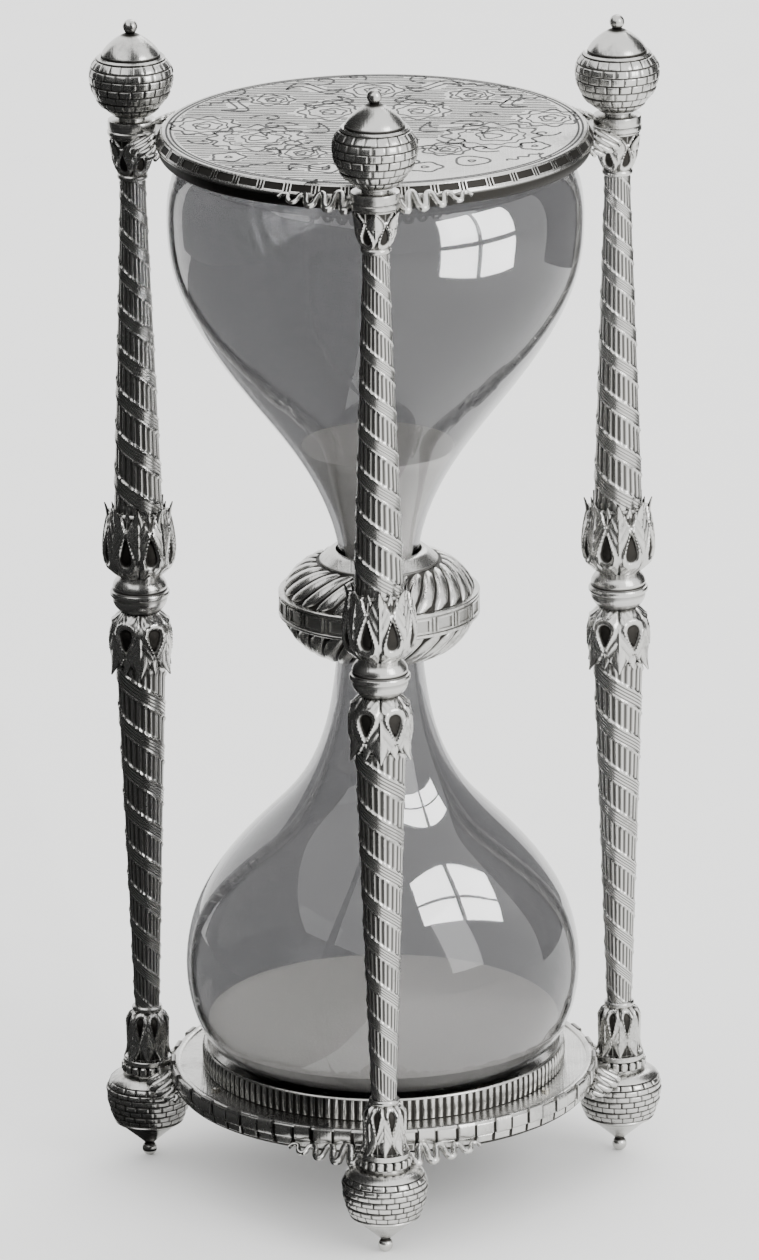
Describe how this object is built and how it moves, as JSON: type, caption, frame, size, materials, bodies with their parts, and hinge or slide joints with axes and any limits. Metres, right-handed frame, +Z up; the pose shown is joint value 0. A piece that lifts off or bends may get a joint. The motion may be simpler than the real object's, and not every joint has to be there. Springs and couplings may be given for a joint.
{
  "type": "hourglass",
  "caption": "Ornate table hourglass: blown glass bulbs with sand, held between round plates by turned metal posts and joined by a gadrooned collar.",
  "frame": {"origin": "axis of the glass at the level of the table, where the filed tips of the three posts stand", "axes": "+Z up along the axis of the glass, -Y towards the front post, +X towards the right post"},
  "size_m": [0.123, 0.109, 0.2593],
  "materials": {
    "silvered_brass": "aged silvering, dark in the recesses",
    "brass_pins": "plain filed",
    "steel_rod": "drawn",
    "blown_glass": "clear, faintly grey",
    "fine_sand": "fine dry grains",
    "leather_pad": "plain",
    "waxed_binding": "waxed linen thread"
  },
  "bodies": {
    "root": {"front_tie_rod": "steel_rod", "front_knop": "silvered_brass", "front_upper_calyx": "silvered_brass", "front_upper_shaft": "silvered_brass", "front_top_capital": "silvered_brass", "front_top_cup": "silvered_brass", "front_top_acorn": "silvered_brass", "front_lower_calyx": "silvered_brass", "front_lower_shaft": "silvered_brass", "front_bottom_capital": "silvered_brass", "front_bottom_cup": "silvered_brass", "front_bottom_acorn": "silvered_brass", "left_tie_rod": "steel_rod", "left_knop": "silvered_brass", "left_upper_calyx": "silvered_brass", "left_upper_shaft": "silvered_brass", "left_top_capital": "silvered_brass", "left_top_cup": "silvered_brass", "left_top_acorn": "silvered_brass", "left_lower_calyx": "silvered_brass", "left_lower_shaft": "silvered_brass", "left_bottom_capital": "silvered_brass", "left_bottom_cup": "silvered_brass", "left_bottom_acorn": "silvered_brass", "right_tie_rod": "steel_rod", "right_knop": "silvered_brass", "right_upper_calyx": "silvered_brass", "right_upper_shaft": "silvered_brass", "right_top_capital": "silvered_brass", "right_top_cup": "silvered_brass", "right_top_acorn": "silvered_brass", "right_lower_calyx": "silvered_brass", "right_lower_shaft": "silvered_brass", "right_bottom_capital": "silvered_brass", "right_bottom_cup": "silvered_brass", "right_bottom_acorn": "silvered_brass", "top_plate": "silvered_brass", "bottom_plate": "silvered_brass", "top_rim": "silvered_brass", "bottom_rim": "silvered_brass", "seat_ring": "silvered_brass", "top_dowels": "brass_pins", "bottom_rivets": "brass_pins", "top_cushion": "leather_pad", "bottom_cushion": "leather_pad", "upper_bulb": "blown_glass", "lower_bulb": "blown_glass", "upper_sand": "fine_sand", "lower_sand": "fine_sand", "collar_upper_dome": "silvered_brass", "collar_lower_dome": "silvered_brass", "collar_belt": "silvered_brass", "collar_skirt": "silvered_brass", "orifice_plate": "brass_pins", "neck_binding": "waxed_binding", "top_scrolls": "silvered_brass", "bottom_scrolls": "silvered_brass"}
  },
  "joints": []
}
